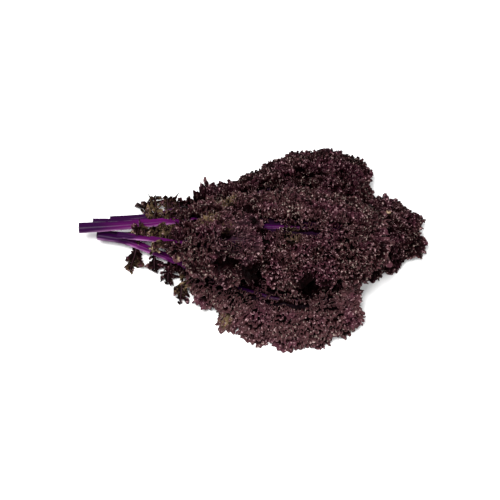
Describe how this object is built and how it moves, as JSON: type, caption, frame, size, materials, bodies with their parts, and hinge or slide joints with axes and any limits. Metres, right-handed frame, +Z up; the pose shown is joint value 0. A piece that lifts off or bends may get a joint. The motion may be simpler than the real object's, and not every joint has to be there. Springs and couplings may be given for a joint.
{
  "type": "purple kale bunch",
  "caption": "Loose bunch of purple curly kale lying on its side, with bare cut petioles at one end and overlapping frilled leaves at the other.",
  "frame": {"origin": "on the table, under the middle of the bunch's box", "axes": "+X from the cut ends to the leaf tips, +Y across the bunch, +Z up from the table"},
  "size_m": [0.3782, 0.247, 0.085],
  "materials": {
    "blade": "fresh curled leaf, dark maroon-brown with a soft waxy sheen",
    "stem": "fresh leaf stalk, vivid violet with a waxy sheen"
  },
  "bodies": {
    "root": {"right_leaf_blade": "blade", "right_leaf_stem": "stem", "back_leaf_blade": "blade", "back_leaf_stem": "stem", "front_leaf_blade": "blade", "front_leaf_stem": "stem", "middle_leaf_blade": "blade", "middle_leaf_stem": "stem", "top_leaf_blade": "blade", "top_leaf_stem": "stem", "small_leaf_blade": "blade", "small_leaf_stem": "stem"}
  },
  "joints": []
}
